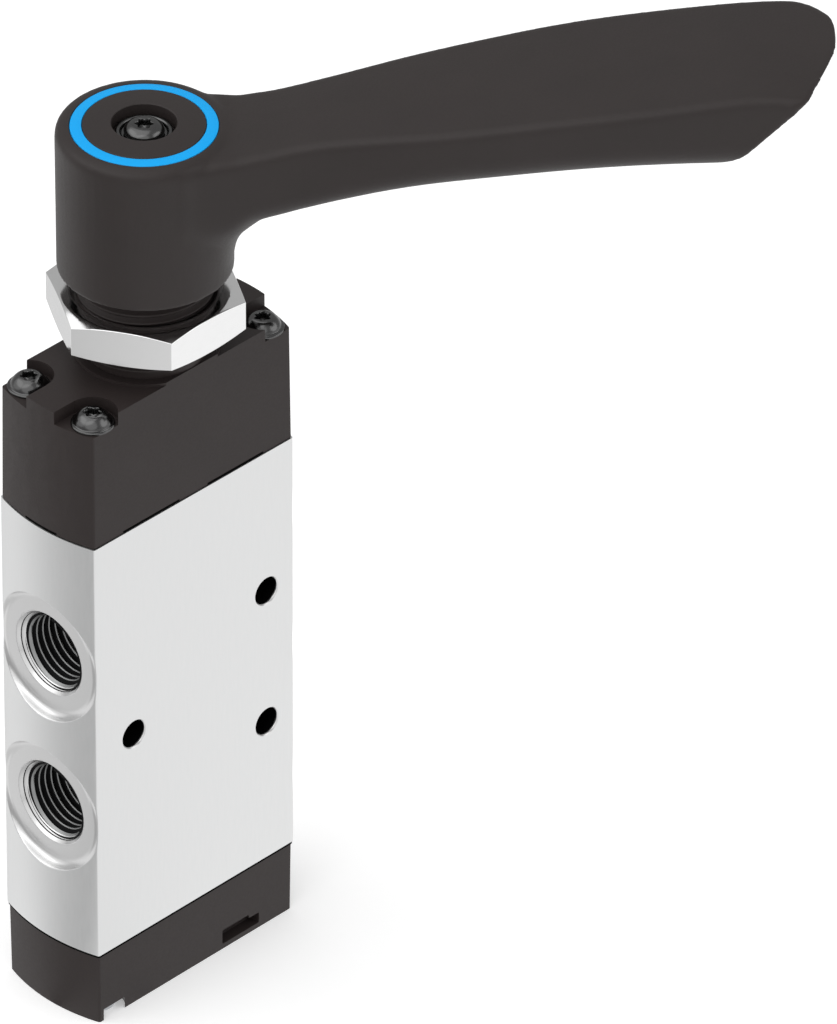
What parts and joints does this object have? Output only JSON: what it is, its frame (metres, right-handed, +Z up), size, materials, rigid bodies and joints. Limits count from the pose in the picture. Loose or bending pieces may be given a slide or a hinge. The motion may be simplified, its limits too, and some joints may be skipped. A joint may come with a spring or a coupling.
{
  "type": "hand lever air valve",
  "caption": "Slim block air valve turned by a long rising hand lever, with a panel nut on its threaded neck, threaded ports on both narrow faces and a sliding spool inside.",
  "frame": {"origin": "centre of the base cap's flat underside, on the valve's axis", "axes": "+Z up along the valve axis towards the lever, +X along the wide faces away from the two outlet ports, +Y across them away from the face in view"},
  "size_m": [0.1065, 0.0964, 0.1729],
  "materials": {
    "body": "satin anodised",
    "housing": "fine moulded grain",
    "base": "fine moulded grain",
    "gasket": "moulded",
    "black_screw": "black oxide",
    "zinc_screw": "bright zinc",
    "nut": "bright nickel",
    "lever": "fine moulded grain",
    "accent": "smooth moulded",
    "screw": "dark steel",
    "washer": "steel",
    "shaft": "turned steel",
    "ring": "spring steel",
    "bush": "turned bearing plastic",
    "seal": "moulded",
    "guide": "moulded bearing plastic",
    "spring": "spring steel",
    "spool": "turned and polished",
    "cage": "moulded",
    "pad": "moulded"
  },
  "bodies": {
    "valve": {"valve_body": "body", "base_cap": "base", "base_gasket": "gasket", "base_screws": "zinc_screw", "top_housing": "housing", "top_gasket": "gasket", "housing_screws": "black_screw", "shaft_bush": "bush", "shaft_seal": "seal", "thrust_washer": "bush", "pin_guide": "guide", "detent_spring": "spring", "spool_seals": "seal", "spacer_cages": "cage", "end_bushes": "cage", "stop_pad": "pad"},
    "lever": {"lever": "lever", "accent_ring": "accent", "lever_screw": "screw", "lever_washer": "washer", "drive_shaft": "shaft", "retaining_ring": "ring"},
    "spool": {"spool": "spool", "drive_pin": "shaft"},
    "nut": {"panel_nut": "nut"}
  },
  "joints": [
    {"name": "lever_turn", "type": "hinge", "parent": "valve", "child": "lever", "pos_m": [0, 0, 0.1328], "axis": [0, 0, 1], "range_deg": [-90, 0], "deforming": ["detent_spring"]},
    {"name": "spool_slide", "type": "slide", "parent": "valve", "child": "spool", "axis": [0, 0, 1], "range_m": [-0.004, 0]},
    {"name": "nut_slide", "type": "slide", "parent": "valve", "child": "nut", "axis": [0, 0, 1], "range_m": [-0.0046, 0.0034]}
  ],
  "couplings": [
    {"joint": "spool_slide", "follows": "lever_turn", "m_per_rad": 0.002546}
  ]
}
